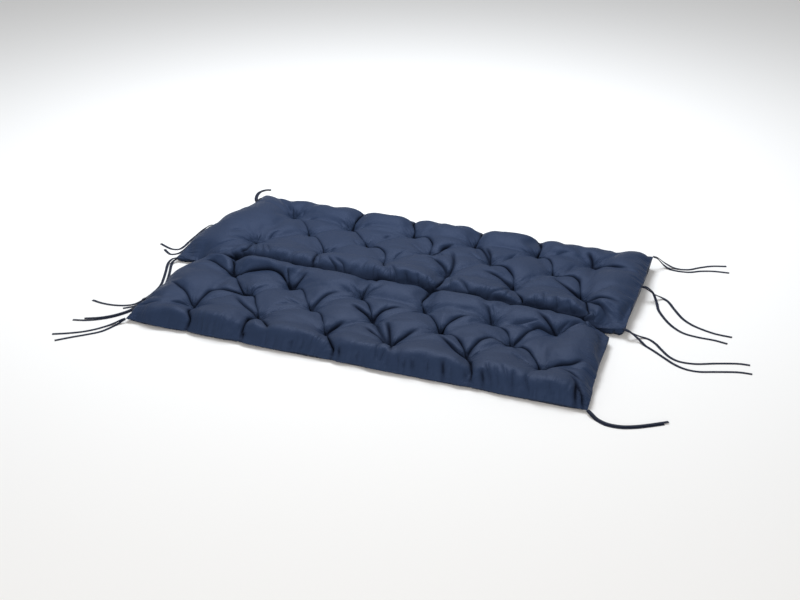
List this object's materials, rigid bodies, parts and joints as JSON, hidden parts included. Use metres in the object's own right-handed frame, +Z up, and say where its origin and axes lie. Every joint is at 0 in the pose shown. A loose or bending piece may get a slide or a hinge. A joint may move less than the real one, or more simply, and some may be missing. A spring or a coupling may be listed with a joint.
{
  "type": "bench cushion",
  "caption": "Tufted bench cushion for outdoor seats, a seat half and a back half sewn together along a fold, opened out flat, with pairs of tie tapes at its ends.",
  "frame": {"origin": "centre of the cushion's bounding box at the surface it rests on, without the tie tapes", "axes": "+X along the length, +Y from the seat half to the back half, +Z up from the surface"},
  "size_m": [2.0069, 1.2993, 0.0773],
  "materials": {
    "cushion_cloth": "smooth plain-woven polyester with a faint sheen, dark blue",
    "tape_cloth": "narrow tape of the same cloth, folded and sewn"
  },
  "bodies": {
    "root": {"cushion": "cushion_cloth", "tie_left_back_a": "tape_cloth", "tie_left_back_b": "tape_cloth", "tie_left_fold_a": "tape_cloth", "tie_left_fold_b": "tape_cloth", "tie_left_front_a": "tape_cloth", "tie_left_front_b": "tape_cloth", "tie_left_rear_a": "tape_cloth", "tie_left_rear_b": "tape_cloth", "tie_left_seat_a": "tape_cloth", "tie_left_seat_b": "tape_cloth", "tie_right_back_a": "tape_cloth", "tie_right_back_b": "tape_cloth", "tie_right_fold_a": "tape_cloth", "tie_right_fold_b": "tape_cloth", "tie_right_front_a": "tape_cloth", "tie_right_front_b": "tape_cloth", "tie_right_rear_a": "tape_cloth", "tie_right_rear_b": "tape_cloth"}
  },
  "joints": []
}
